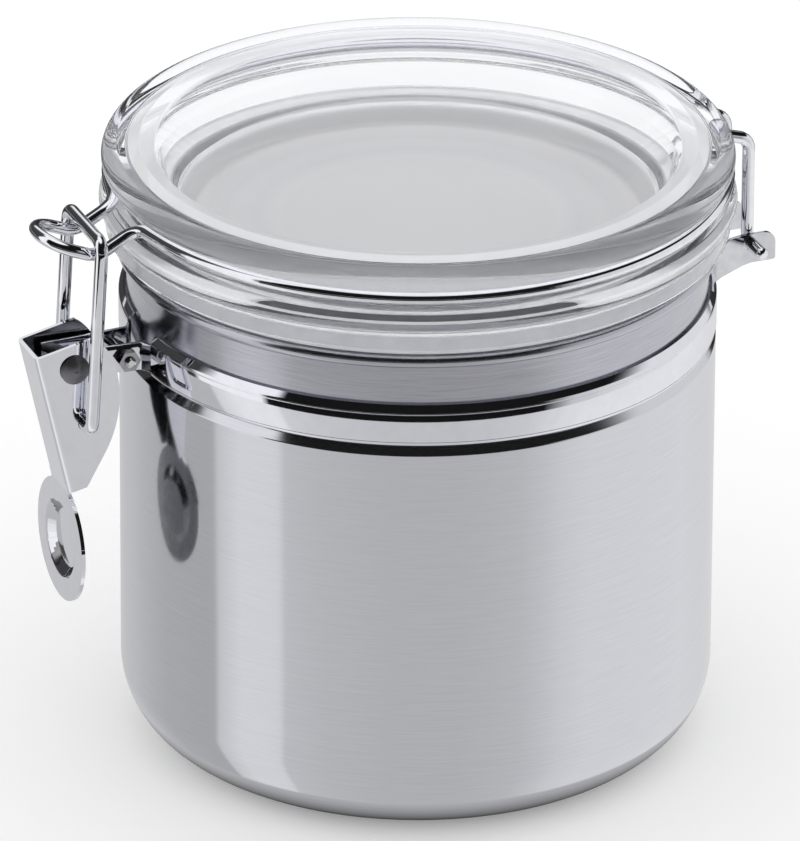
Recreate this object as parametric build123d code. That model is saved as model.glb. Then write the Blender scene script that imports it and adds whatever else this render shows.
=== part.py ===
from build123d import *
from math import asin, cos, degrees, radians, sin, tan
import os

os.makedirs("parts", exist_ok=True)

# Vacuum seal canister, in millimetres. +Z is up, the flat base rests on Z = 0 and the
# shell's axis is Z. The latch is at -X, the hinge of the wire bail at +X.

# spun shell
body_radius = 60.0
body_height = 108.6
shell_wall = 0.8
foot_bend = 16.0
neck_height = 19.6
shoulder_height = 2.3
shoulder_step = 1.5
shoulder_bend = 1.0
rim_bead = 1.5
base_ring_share = 0.864
base_ring_width = 3.2
base_ring_slope = 0.8
base_ring_depth = 0.7

# clamp band and its two ears
band_drop = 16.0
band_face_height = 6.0
band_sheet = 0.7
band_stand_off = 1.6
flange_bend = 0.9
flange_angle = 34.0
flange_run = 1.35
hem_bend = 0.7
hem_angle = 40.0
band_opening = 6.6
ear_bend = 1.2
ear_lead_angle = 60.0
ear_lead_run = 1.96
ear_taper_angle = 3.0
ear_reach = 19.6
ear_corner = 0.6
screw_reach = 4.0
rivet_reach = 15.5

# hinge bracket and hinge pin
bracket_sheet = 0.8
bracket_spread = 8.3
bracket_bend = 1.2
bracket_ear_half = 8.0
bracket_lead_angle = 15.0
hinge_reach = 9.4
hinge_lift = 4.6
bracket_end_reach = 5.2
bracket_base_low = 2.6
bracket_base_high = 5.8
bracket_arm_low = 4.0
bracket_arm_high = 2.2
bracket_root_low = 5.5
bracket_root_reach = 2.2
bracket_corner = 2.4

# wires
bail_wire_radius = 1.3
link_wire_radius = 1.35
bail_leg_half = 5.9
pin_half = 14.2
bail_leg_rise = 22.4
pin_bend = 1.6
leg_bend = 3.0
ring_start_angle = 10.0
ring_end_angle = 14.0
nose_half = 6.5
nose_tip_half = 6.3
nose_root_bend = 4.0
valley_bend = 5.0
nose_tip_bend = 6.2
valley_out = 9.0
valley_drop = 4.8
nose_tip_out = 19.0
nose_tip_drop = 0.8

# clear lid: heights above the skirt's lower edge, radii beyond the shell's radius
lid_lift = 1.8
skirt_wall = 1.6
skirt_out = 2.6
ceiling_height = 2.8
low_bead_height = 6.0
low_bead_out = 1.7
low_bead = 2.2
step_low_height = 8.4
step_high_height = 9.2
groove_height = 11.4
groove_out = 2.0
wire_gap = 0.3
top_bead_height = 15.0
top_bead_out = 0.6
top_bead = 2.8
land_in = 1.6
land_height = 17.1
lip_in = 4.2
lip_height = 17.8
mouth_in = 7.2
mouth_height = 17.2
knee_in = 12.5
knee_height = 5.8
well_floor_in = 15.7
floor_height = 1.2
floor_sheet = 2.8
hollow_foot_in = 13.0
hollow_top_in = 10.5
hollow_top_height = 3.1
plug_inner_in = 7.6
plug_in = 4.6
plug_foot_in = 5.8
plug_drop = 5.6
plug_step_low = 2.0
plug_step_high = 2.6
well_bend = 2.0
lip_bend = 1.0
skirt_bend = 0.6

# silicone gasket
gasket_gap = 0.1
gasket_out = 0.3
gasket_deep = 2.4
seal_gap = 0.25
seal_lip_in = 1.7
wiper_width = 1.0
wiper_drop = 5.8
gasket_bend = 0.4

# latch lever
lever_sheet = 0.8
lever_side_gap = 0.65
web_tilt = 12.5
web_length = 31.3
plate_depth = 15.6
fold_bend = 0.9
rivet_depth = 7.27
rivet_down = 5.09
link_hole_in = 2.1
link_hole_drop = 12.2
plate_top_share = 0.795
plate_crown_shares = (0.955, 0.128)
plate_nose_share = 0.272
plate_back_shares = (0.91, 0.543)
plate_heel_shares = (0.615, 0.799)
plate_toe_share = 0.256
neck_overlap = 2.0
neck_bend = 3.0
disc_radius = 12.7
disc_drop = 12.4
dish_radius = 8.2
dish_floor_radius = 6.2
dish_depth = 1.6
dish_bend = 0.8

# wire link
link_pin_inside = 1.1
link_leg_half = 9.5
link_foot_bend = 2.2
link_top_bend = 2.5
bar_lift = 4.0

# rivet, screw and nut
rivet_radius = 1.5
rivet_head_radius = 3.0
rivet_head_height = 1.1
rivet_head_gap = 0.1
dome_share = 0.65
screw_radius = 1.1
screw_head_radius = 2.3
screw_head_height = 1.6
slot_width = 0.6
slot_depth = 0.6
nut_flats = 4.0
nut_height = 2.0
nut_chamfer = 0.3
screw_end = 0.9
screw_end_chamfer = 0.4

# clearances
running_gap = 0.08
fixed_gap = 0.05
seat_gap = 0.02
cut_overrun = 5.0

# values that follow from the sizes above
neck_radius = body_radius - shoulder_step
base_ring_radius = (body_radius - foot_bend) * base_ring_share
neck_inner = neck_radius - shell_wall
shoulder_z = body_height - neck_height
band_z = body_height - band_drop
band_outer = neck_radius + band_stand_off
band_middle = band_outer - band_sheet / 2
lever_pivot = Vector(-(body_radius + rivet_reach), 0, band_z)
screw_x = -(body_radius + screw_reach)
hinge_x = body_radius + hinge_reach
hinge_z = band_z + hinge_lift
lid_z = body_height + lid_lift
ring_radius = body_radius + groove_out
ring_z = lid_z + groove_height
valley_x = -(ring_radius + valley_out)
valley_z = ring_z - valley_drop
web_along = Vector(sin(radians(web_tilt)), 0, -cos(radians(web_tilt)))
web_across = Vector(cos(radians(web_tilt)), 0, sin(radians(web_tilt)))
web_top = lever_pivot - web_across * rivet_depth - web_along * rivet_down


def spun(outline):
    # solid of revolution about Z from a closed outline in X and Z
    return revolve(Plane.XZ * make_face(outline), Axis.Z)


def along_y(x, z, radius, half_length):
    # round bar or hole across the object
    return Pos(x, 0, z) * Rot(X=90) * Cylinder(radius, 2 * half_length)


def wire_form(edges, radius):
    # round wire bent along one continuous path
    path = Wire(edges)
    return sweep(Plane(path @ 0, z_dir=path % 0) * Circle(radius), path=path)


def shell_outline(inset, top_z):
    # outer or inner skin of the shell, with the stamped ring of the base
    ring_in = base_ring_radius - base_ring_width / 2
    ring_out = base_ring_radius + base_ring_width / 2
    skin = FilletPolyline(
        (0, inset),
        (ring_in - base_ring_slope, inset),
        (ring_in, inset + base_ring_depth),
        (ring_out, inset + base_ring_depth),
        (ring_out + base_ring_slope, inset),
        (body_radius - inset, inset),
        (body_radius - inset, shoulder_z - shoulder_height),
        (neck_radius - inset, shoulder_z),
        (neck_radius - inset, top_z),
        radius=[base_ring_slope / 2] * 4 + [foot_bend - inset] + [shoulder_bend / 2] * 2,
    )
    return skin + Polyline((neck_radius - inset, top_z), (0, top_z), (0, inset))


def canister_body():
    bead_radius = neck_inner + rim_bead
    bead_z = body_height - rim_bead
    shell = spun(shell_outline(0, bead_z)) - spun(shell_outline(shell_wall, body_height))
    bead = revolve(Plane.XZ * Pos(bead_radius, bead_z) * Circle(rim_bead), Axis.Z)
    return shell + bead


def ear_line():
    # plan line of one half of the band: arc, bend, lead and ear
    open_angle = degrees(asin(band_opening / band_middle))
    arc = CenterArc((0, 0), band_middle, 0, 180 - open_angle)
    bend = JernArc(arc @ 1, arc % 1, ear_bend, open_angle - 90 + ear_lead_angle)
    lead = PolarLine(bend @ 1, ear_lead_run, direction=bend % 1)
    turn = JernArc(lead @ 1, lead % 1, ear_bend, ear_taper_angle - ear_lead_angle)
    ear_end = -(body_radius + ear_reach)
    tail_length = ((turn @ 1).X - ear_end) / cos(radians(ear_taper_angle))
    tail = PolarLine(turn @ 1, tail_length, direction=turn % 1)
    return arc, bend, lead, turn, tail


def ear_face_y(x):
    # distance of the ear's outer face from the middle plane at x
    start = ear_line()[3] @ 1
    fall = (start.X - x) * tan(radians(ear_taper_angle))
    return start.Y - fall + band_sheet / 2 / cos(radians(ear_taper_angle))


def band_edges():
    # flange bent in above the band's flat face and the small hem below it
    top = JernArc((band_middle, band_z + band_face_height / 2), (0, 1), flange_bend, flange_angle)
    flange = Curve() + [top, PolarLine(top @ 1, flange_run, direction=top % 1)]
    hem = JernArc((band_middle, band_z - band_face_height / 2), (0, -1), hem_bend, -hem_angle)
    edges = revolve(Plane.XZ * trace(flange, band_sheet), Axis.Z)
    edges += revolve(Plane.XZ * trace(hem, band_sheet), Axis.Z)
    opening = Pos(-body_radius, 0, band_z) * Box(body_radius, 2 * band_opening, body_height)
    return edges - opening


def clamp_band():
    plan = Curve() + list(ear_line())
    flat = extrude(trace(plan, band_sheet), amount=band_face_height)
    flat = Pos(0, 0, band_z - band_face_height / 2) * flat
    tip_outline = RectangleRounded(2 * (body_radius + ear_reach), band_face_height, ear_corner)
    tip_outline = Plane.XZ * Pos(0, band_z) * tip_outline
    flat = flat & extrude(tip_outline, amount=body_radius + ear_reach, both=True)
    band = flat + mirror(flat, Plane.XZ) + band_edges()
    band -= along_y(lever_pivot.X, band_z, rivet_radius + fixed_gap, body_radius)
    band -= along_y(screw_x, band_z, screw_radius + fixed_gap, body_radius)
    return band


def bracket_line():
    # plan line of one half of the bracket: saddle, bend, lead and ear
    middle = band_outer + seat_gap + bracket_sheet / 2
    half_angle = degrees(asin(bracket_spread / middle))
    arc = CenterArc((0, 0), middle, 0, half_angle)
    bend = JernArc(arc @ 1, arc % 1, bracket_bend, -90 - half_angle - bracket_lead_angle)
    turn_drop = bracket_bend * (1 - cos(radians(bracket_lead_angle)))
    ear_y = bracket_ear_half + turn_drop
    lead_length = ((bend @ 1).Y - ear_y) / sin(radians(bracket_lead_angle))
    lead = PolarLine(bend @ 1, lead_length, direction=bend % 1)
    turn = JernArc(lead @ 1, lead % 1, bracket_bend, bracket_lead_angle)
    tail = PolarLine(turn @ 1, hinge_x + bracket_end_reach - (turn @ 1).X, direction=turn % 1)
    return Curve() + [arc, bend, lead, turn, tail]


def hinge_bracket():
    # saddle welded to the band, with two ears that carry the bail's pins
    low = band_z - bracket_base_low
    high = band_z + bracket_base_high
    half = extrude(trace(bracket_line(), bracket_sheet), amount=body_height)
    root_x = band_outer + bracket_root_reach
    end_x = hinge_x + bracket_end_reach
    side = FilletPolyline(
        (neck_radius, low),
        (root_x, hinge_z - bracket_root_low),
        (hinge_x, hinge_z - bracket_arm_low),
        (end_x, hinge_z - bracket_arm_low),
        (end_x, hinge_z + bracket_arm_high),
        (root_x + bracket_root_reach, hinge_z + bracket_arm_high),
        (root_x, high),
        (neck_radius, high),
        radius=[ear_corner, ear_corner, ear_corner, bracket_corner, ear_corner, ear_corner],
    )
    side += Line((neck_radius, high), (neck_radius, low))
    side = extrude(Plane.XZ * make_face(side), amount=body_radius, both=True)
    bracket = (half + mirror(half, Plane.XZ)) & side
    return bracket - along_y(hinge_x, hinge_z, bail_wire_radius + running_gap, body_radius)


def screw_profile(points):
    # solid of revolution about the Y axis from (radius, y) points
    line = Polyline(*points, close=True)
    return revolve(make_face(line), Axis.Y)


def clamp_screw():
    seat = ear_face_y(screw_x + screw_head_radius) + seat_gap
    tip = ear_face_y(screw_x + nut_flats / 2) + seat_gap + nut_height + screw_end
    body = screw_profile([
        (0, -tip),
        (screw_radius - screw_end_chamfer, -tip),
        (screw_radius, -tip + screw_end_chamfer),
        (screw_radius, seat),
        (0, seat),
    ])
    head = Pos(0, seat, 0) * Rot(X=-90) * domed_head(screw_head_radius, screw_head_height)
    cross = Box(slot_width, 2 * slot_depth, 2 * screw_radius)
    cross += Rot(Y=90) * cross
    head -= Pos(0, seat + screw_head_height, 0) * cross
    return Pos(screw_x, 0, band_z) * (body + head)


def domed_head(radius, height):
    # low spherical dome on a short straight edge, standing on Z = 0
    rise = height * dome_share
    dome_radius = (radius**2 + rise**2) / (2 * rise)
    half_angle = asin(radius / dome_radius) / 2
    dome = ThreePointArc(
        (radius, height - rise),
        (dome_radius * sin(half_angle), height - dome_radius * (1 - cos(half_angle))),
        (0, height),
    )
    return spun(dome + Polyline((0, height), (0, 0), (radius, 0), (radius, height - rise)))


def clamp_nut():
    seat = ear_face_y(screw_x + nut_flats / 2) + seat_gap
    hexagon = RegularPolygon(nut_flats / 2, 6, major_radius=False, rotation=0)
    nut = extrude(hexagon, amount=nut_height)
    cone_radius = nut_flats / 2 + nut_chamfer
    cone = Cone(cone_radius + nut_height, cone_radius - nut_chamfer, nut_height + nut_chamfer,
                align=(Align.CENTER, Align.CENTER, Align.MIN))
    nut = nut & cone
    nut -= Cylinder(screw_radius + seat_gap, cut_overrun * 2)
    return Pos(screw_x, -seat, band_z) * Rot(X=90) * nut


def lever_half():
    # outer half width of the lever, from the ears it straddles
    return ear_face_y(screw_x) + lever_side_gap + lever_sheet


def lever_rivet():
    seat = lever_half() + rivet_head_gap
    half = Cylinder(rivet_radius, seat, align=(Align.CENTER, Align.CENTER, Align.MIN))
    half += Pos(0, 0, seat) * domed_head(rivet_head_radius, rivet_head_height)
    half = Pos(*lever_pivot) * Rot(X=90) * half
    return half + mirror(half, Plane.XZ)


def bail_wire():
    # pins, legs, ring in the lid's groove and upturned nose, bent from one wire
    start = radians(ring_start_angle)
    end = radians(ring_end_angle)
    entry = Vector(ring_radius * cos(start), ring_radius * sin(start), ring_z)
    leave = Vector(-ring_radius * cos(end), ring_radius * sin(end), ring_z)
    leg_x = entry.X + (entry.Y - bail_leg_half) * tan(start)
    root_x = leave.X - (leave.Y - nose_half) * tan(end)
    leg = FilletPolyline(
        (hinge_x, pin_half, hinge_z),
        (hinge_x, bail_leg_half, hinge_z),
        (hinge_x, bail_leg_half, hinge_z + bail_leg_rise),
        (leg_x, bail_leg_half, ring_z),
        entry,
        radius=[pin_bend, leg_bend, leg_bend],
    )
    tip_x = -(ring_radius + nose_tip_out)
    tip_z = ring_z - nose_tip_drop
    nose = FilletPolyline(
        leave,
        (root_x, nose_half, ring_z),
        (valley_x, nose_half, valley_z),
        (tip_x, nose_tip_half, tip_z),
        (tip_x, -nose_tip_half, tip_z),
        (valley_x, -nose_half, valley_z),
        (root_x, -nose_half, ring_z),
        (leave.X, -leave.Y, leave.Z),
        radius=[nose_root_bend, valley_bend, nose_tip_bend] + [nose_tip_bend, valley_bend, nose_root_bend],
    )
    sweep_angle = 180 - ring_start_angle - ring_end_angle
    far_arc = CenterArc((0, 0, ring_z), ring_radius, ring_start_angle, sweep_angle)
    near_arc = CenterArc((0, 0, ring_z), ring_radius, 180 + ring_end_angle, sweep_angle)
    near_leg = mirror(leg, Plane.XZ)
    edges = leg.edges() + far_arc.edges() + nose.edges() + near_arc.edges() + near_leg.edges()
    return wire_form(edges, bail_wire_radius)


def latch_link():
    hole_x = lever_pivot.X + link_hole_in
    hole_z = lever_pivot.Z - link_hole_drop
    pin = lever_half() - lever_sheet - link_pin_inside
    bar_z = valley_z + bar_lift
    loop = FilletPolyline(
        (hole_x, pin, hole_z),
        (hole_x, link_leg_half, hole_z),
        (valley_x, link_leg_half, bar_z),
        (valley_x, -link_leg_half, bar_z),
        (hole_x, -link_leg_half, hole_z),
        (hole_x, -pin, hole_z),
        radius=[link_foot_bend, link_top_bend, link_top_bend, link_foot_bend],
    )
    return wire_form(loop.edges(), link_wire_radius)


def lid_underside():
    # floor, hollow behind the plug, plug, ceiling over the rim, skirt and outer wall
    floor_z = lid_z + floor_height - floor_sheet
    plug_z = lid_z - plug_drop
    wall_radius = body_radius + groove_out
    skirt_radius = body_radius + skirt_out
    return FilletPolyline(
        (0, floor_z),
        (body_radius - hollow_foot_in, floor_z),
        (body_radius - hollow_top_in, lid_z + hollow_top_height),
        (body_radius - plug_inner_in, lid_z + hollow_top_height),
        (body_radius - plug_inner_in, plug_z),
        (body_radius - plug_foot_in, plug_z),
        (body_radius - plug_foot_in, plug_z + plug_step_low),
        (body_radius - plug_in, plug_z + plug_step_high),
        (body_radius - plug_in, lid_z + ceiling_height),
        (skirt_radius - skirt_wall, lid_z + ceiling_height),
        (skirt_radius - skirt_wall, lid_z),
        (skirt_radius, lid_z),
        (skirt_radius, lid_z + step_low_height),
        (wall_radius, lid_z + step_high_height),
        (wall_radius, lid_z + top_bead_height),
        radius=[lip_bend] * 3 + [skirt_bend] * 2 + [skirt_bend / 2] * 2 + [skirt_bend] * 4
        + [skirt_bend / 2] * 2,
    )


def lid_well():
    # top bead, land, rounded lip and the well's wall down to its floor
    return FilletPolyline(
        (body_radius + top_bead_out, lid_z + top_bead_height + top_bead),
        (body_radius - land_in, lid_z + land_height),
        (body_radius - lip_in, lid_z + lip_height),
        (body_radius - mouth_in, lid_z + mouth_height),
        (body_radius - knee_in, lid_z + knee_height),
        (body_radius - well_floor_in, lid_z + floor_height),
        (0, lid_z + floor_height),
        radius=[lip_bend] * 3 + [well_bend] * 2,
    )


def lid():
    underside = lid_underside()
    well = lid_well()
    crown = Line(underside @ 1, well @ 0)
    outline = make_face(underside + crown + well + Line(well @ 1, underside @ 0))
    outline += Pos(body_radius + low_bead_out, lid_z + low_bead_height) * Circle(low_bead)
    outline += Pos(body_radius + top_bead_out, lid_z + top_bead_height) * Circle(top_bead)
    outline -= Pos(ring_radius, ring_z) * Circle(bail_wire_radius + wire_gap)
    return revolve(Plane.XZ * outline, Axis.Z)


def gasket():
    # ring under the lid's ceiling, a lip over the rolled rim and a wiper inside the mouth
    inner = body_radius - plug_in + fixed_gap
    top = lid_z + ceiling_height - gasket_gap
    seal_z = body_height + seal_gap
    outer = body_radius + gasket_out
    outline = FilletPolyline(
        (inner, top - gasket_deep),
        (inner, top),
        (outer, top),
        (outer, seal_z),
        (body_radius - seal_lip_in, seal_z),
        (body_radius - seal_lip_in, top - gasket_deep),
        (inner + wiper_width, top - gasket_deep),
        (inner + wiper_width, top - wiper_drop),
        (inner, top - wiper_drop),
        radius=gasket_bend,
    )
    return spun(outline + Line(outline @ 1, outline @ 0))


def lever_outline():
    # side plate in the lever's own plane: across the web, then along it
    depth = plate_depth
    top = (plate_top_share * depth, 0)
    crown = (plate_crown_shares[0] * depth, plate_crown_shares[1] * web_length)
    nose = (depth, plate_nose_share * web_length)
    back = (plate_back_shares[0] * depth, plate_back_shares[1] * web_length)
    heel = (plate_heel_shares[0] * depth, plate_heel_shares[1] * web_length)
    toe = (plate_toe_share * depth, web_length)
    edge = ThreePointArc(top, crown, nose) + ThreePointArc(nose, back, heel) + Line(heel, toe)
    return edge + Polyline(toe, (0, web_length), (0, 0), top)


def finger_disc(centre):
    # dished disc that hangs in a vertical plane
    outline = FilletPolyline(
        (0, disc_radius),
        (0, dish_radius),
        (dish_depth, dish_floor_radius),
        (dish_depth, 0),
        radius=dish_bend,
    )
    return Pos(*centre) * revolve(trace(outline, lever_sheet), Axis.X)


def latch_lever():
    half = lever_half()
    middle = half - lever_sheet / 2
    channel = FilletPolyline(
        (plate_depth + cut_overrun, middle),
        (lever_sheet / 2, middle),
        (lever_sheet / 2, -middle),
        (plate_depth + cut_overrun, -middle),
        radius=fold_bend,
    )
    section = Plane(web_top, x_dir=web_across, z_dir=web_along) * trace(channel, lever_sheet)
    lever = extrude(section, amount=web_length)
    side = Plane(web_top, x_dir=web_across, z_dir=(0, 1, 0)) * make_face(lever_outline())
    lever = lever & extrude(side, amount=body_radius, both=True)

    web_middle = web_top + web_across * (lever_sheet / 2)
    fold = web_middle + web_along * web_length
    above = fold - web_along * neck_overlap
    centre = Vector(fold.X, 0, fold.Z - disc_drop)
    rim_z = centre.Z + (disc_radius + dish_radius) / 2
    neck = FilletPolyline((above.X, above.Z), (fold.X, fold.Z), (fold.X, rim_z), radius=neck_bend)
    lever += extrude(Plane.XZ * trace(neck, lever_sheet), amount=half - fold_bend, both=True)
    lever += finger_disc(centre)

    lever -= along_y(lever_pivot.X, lever_pivot.Z, rivet_radius + running_gap, body_radius)
    hole_x = lever_pivot.X + link_hole_in
    hole_z = lever_pivot.Z - link_hole_drop
    return lever - along_y(hole_x, hole_z, link_wire_radius + running_gap, body_radius)


parts = {
    "canister_body": canister_body,
    "clamp_band": clamp_band,
    "hinge_bracket": hinge_bracket,
    "clamp_screw": clamp_screw,
    "clamp_nut": clamp_nut,
    "lever_rivet": lever_rivet,
    "bail_wire": bail_wire,
    "lid": lid,
    "gasket": gasket,
    "latch_lever": latch_lever,
    "latch_link": latch_link,
}

for name, make in parts.items():
    shape = make()
    shape.label = name
    export_step(shape, f"parts/{name}.step")
    box = shape.bounding_box()
    print(name, len(shape.solids()), round(shape.volume, 1), box.min, box.max)
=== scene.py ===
from math import acos, asin, atan2, cos, degrees, pi, radians, sin, sqrt, tan
import bmesh
import bpy
from mathutils import Matrix, Vector


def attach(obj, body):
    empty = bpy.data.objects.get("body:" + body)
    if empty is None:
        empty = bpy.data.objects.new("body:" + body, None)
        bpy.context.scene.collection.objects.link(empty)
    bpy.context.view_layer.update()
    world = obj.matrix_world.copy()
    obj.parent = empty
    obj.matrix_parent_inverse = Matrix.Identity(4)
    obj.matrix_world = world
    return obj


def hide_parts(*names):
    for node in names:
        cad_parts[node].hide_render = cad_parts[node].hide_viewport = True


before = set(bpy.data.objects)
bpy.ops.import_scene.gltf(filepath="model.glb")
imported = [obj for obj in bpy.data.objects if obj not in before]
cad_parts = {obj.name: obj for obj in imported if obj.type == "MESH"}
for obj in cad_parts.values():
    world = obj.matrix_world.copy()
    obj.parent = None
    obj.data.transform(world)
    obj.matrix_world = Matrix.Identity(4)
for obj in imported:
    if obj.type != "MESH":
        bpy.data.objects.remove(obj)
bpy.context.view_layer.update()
print("frame loaded")

mm = 0.001          # every dictionary below is in millimetres and degrees
scene = bpy.context.scene
# how close counts as the same; straight is in radians, stretch is a share
close = {"doubles": 0.002, "slivers": 0.001, "point": 1e-4, "straight": 0.002, "stretch": 0.5}


def roundedPath(points, radii, step):
    # replaces each inner corner by an arc, step is the angle between arc points
    points = [Vector(p) for p in points]
    if not isinstance(radii, (list, tuple)):
        radii = [radii] * (len(points) - 2)
    path = [points[0]]
    for before, corner, after, radius in zip(points, points[1:], points[2:], radii):
        inward = (before - corner).normalized()
        onward = (after - corner).normalized()
        half = inward.angle(onward) / 2
        if radius <= 0 or half > pi / 2 - close["straight"]:
            path.append(corner)
            continue
        centre = corner + (inward + onward).normalized() * (radius / sin(half))
        first = corner + inward * (radius / tan(half)) - centre
        last = corner + onward * (radius / tan(half)) - centre
        turn = first.angle(last)
        count = max(2, round(degrees(turn) / step))
        for i in range(count + 1):
            share = i / count
            a, b = sin((1 - share) * turn), sin(share * turn)
            path.append(centre + (first * a + last * b) / sin(turn))
    path.append(points[-1])
    return path


def arcPoints(centre, radius, start, end, count):
    return [(centre[0] + radius * cos(radians(start + (end - start) * i / count)),
             centre[1] + radius * sin(radians(start + (end - start) * i / count)))
            for i in range(count + 1)]


def makeObject(name, verts, faces, smoothAngle=32.0):
    mesh = bpy.data.meshes.new(name)
    mesh.from_pydata([Vector(v) * mm for v in verts], [], faces)
    bm = bmesh.new()
    bm.from_mesh(mesh)
    bmesh.ops.remove_doubles(bm, verts=bm.verts, dist=close["doubles"] * mm)
    bmesh.ops.dissolve_degenerate(bm, dist=close["slivers"] * mm, edges=bm.edges)
    bmesh.ops.recalc_face_normals(bm, faces=bm.faces)
    bm.to_mesh(mesh)
    bm.free()
    mesh.shade_smooth()
    mesh.set_sharp_from_angle(angle=radians(smoothAngle))
    piece = bpy.data.objects.new(name, mesh)
    scene.collection.objects.link(piece)
    return piece


def lathe(outline, segments, sweep=360.0, start=0.0):
    # verts and faces of a closed (radius, z) outline turned about Z
    outline = [Vector(p).to_2d() for p in outline]
    if (outline[0] - outline[-1]).length < close["point"]:
        outline.pop()
    full = sweep >= 360.0
    rings = segments if full else segments + 1
    count = len(outline)
    verts, faces = [], []
    for ring in range(rings):
        angle = radians(start + sweep * ring / segments)
        verts += [(p.x * cos(angle), p.x * sin(angle), p.y) for p in outline]
    for ring in range(segments):
        here, there = ring * count, (ring + 1) % rings * count
        for i in range(count):
            j = (i + 1) % count
            if max(outline[i].x, outline[j].x) < close["point"]:
                continue
            faces.append((here + i, there + i, there + j, here + j))
    if not full:
        faces.append(tuple(range(count)))
        faces.append(tuple(range((rings - 1) * count, rings * count))[::-1])
    return verts, faces


def ribbon(path, section):
    # sweeps a closed (side, z) section along a plan path, square at both ends
    path = [Vector(p).to_2d() for p in path]
    verts, faces = [], []
    count = len(section)
    for i, point in enumerate(path):
        before = (point - path[i - 1]).normalized() if i else None
        after = (path[i + 1] - point).normalized() if i < len(path) - 1 else None
        ahead = (before or after) + (after or before)
        ahead.normalize()
        stretch = 1 / max(close["stretch"], ahead.dot(after or before))
        side = Vector((ahead.y, -ahead.x)) * stretch
        verts += [(point.x + side.x * s, point.y + side.y * s, z) for s, z in section]
    for i in range(len(path) - 1):
        for j in range(count):
            k = (j + 1) % count
            faces.append((i * count + j, (i + 1) * count + j, (i + 1) * count + k, i * count + k))
    faces.append(tuple(range(count))[::-1])
    faces.append(tuple(range((len(path) - 1) * count, len(path) * count)))
    return verts, faces


def joined(*shells):
    verts, faces = [], []
    for shellVerts, shellFaces in shells:
        base = len(verts)
        verts += [tuple(v) for v in shellVerts]
        faces += [tuple(base + i for i in face) for face in shellFaces]
    return verts, faces


def flipped(shell):
    # mirror image across the object's middle plane
    return [(x, -y, z) for x, y, z in shell[0]], [face[::-1] for face in shell[1]]


def newMaterial(name):
    material = bpy.data.materials.new(name)
    material.use_nodes = True
    nodes = material.node_tree.nodes
    nodes.clear()
    output = nodes.new("ShaderNodeOutputMaterial")
    shader = nodes.new("ShaderNodeBsdfPrincipled")
    material.node_tree.links.new(shader.outputs["BSDF"], output.inputs["Surface"])
    return material, nodes, material.node_tree.links, shader


noiseRange = (0.3, 0.7)      # nearly all of a noise lies between these


def streaks(nodes, links, stretch, scale, detail):
    # noise in object space, scale per metre, drawn out along the small numbers of stretch
    place = nodes.new("ShaderNodeTexCoord")
    mapping = nodes.new("ShaderNodeMapping")
    mapping.inputs["Scale"].default_value = stretch
    noise = nodes.new("ShaderNodeTexNoise")
    noise.inputs["Scale"].default_value = scale
    noise.inputs["Detail"].default_value = detail
    links.new(place.outputs["Object"], mapping.inputs["Vector"])
    links.new(mapping.outputs["Vector"], noise.inputs["Vector"])
    return noise.outputs["Fac"]


def ranged(nodes, links, value, low, high):
    spread = nodes.new("ShaderNodeMapRange")
    spread.inputs["From Min"].default_value, spread.inputs["From Max"].default_value = noiseRange
    spread.inputs["To Min"].default_value = low
    spread.inputs["To Max"].default_value = high
    links.new(value, spread.inputs["Value"])
    return spread.outputs["Result"]


def mathIn(nodes, links, operation, a, b=None):
    step = nodes.new("ShaderNodeMath")
    step.operation = operation
    for socket, value in zip(step.inputs, (a, b)):
        if hasattr(value, "is_output"):
            links.new(value, socket)
        elif value is not None:
            socket.default_value = value
    return step.outputs[0]


def tinted(nodes, links, value, dark, light):
    ramp = nodes.new("ShaderNodeValToRGB")
    for element, position, tint in zip(ramp.color_ramp.elements, noiseRange, (dark, light)):
        element.position = position
        element.color = (*tint, 1)
    links.new(value, ramp.inputs["Fac"])
    return ramp.outputs["Color"]


def bumped(nodes, links, value, shader, strength, distance):
    bump = nodes.new("ShaderNodeBump")
    bump.inputs["Strength"].default_value = strength
    bump.inputs["Distance"].default_value = distance * mm
    links.new(value, bump.inputs["Height"])
    links.new(bump.outputs["Normal"], shader.inputs["Normal"])


# in each look a noise is its stretch, scale and detail, swing is the share of the roughness
# that it ranges over, and bump is its strength and depth
chromeLook = {"cloud": ((1, 1, 1), 420.0, 5.0), "fine": ((1, 1, 1), 2600.0, 2.0),
              "swing": (0.8, 1.2), "bump": (0.03, 0.01)}


def chrome(name, dark, light, rough):
    look = chromeLook
    material, nodes, links, shader = newMaterial(name)
    shader.inputs["Metallic"].default_value = 1.0
    cloud = streaks(nodes, links, *look["cloud"])
    fine = streaks(nodes, links, *look["fine"])
    links.new(tinted(nodes, links, cloud, dark, light), shader.inputs["Base Color"])
    smoothest, roughest = [rough * share for share in look["swing"]]
    links.new(ranged(nodes, links, cloud, smoothest, roughest), shader.inputs["Roughness"])
    bumped(nodes, links, fine, shader, *look["bump"])
    return material


brushedLook = {"lines": ((70, 70, 2400), 1.6, 6.0), "long": ((14, 14, 700), 1.0, 3.0),
               "swing": (0.85, 1.15), "bump": (0.06, 0.02), "turn": 0.25}


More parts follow.
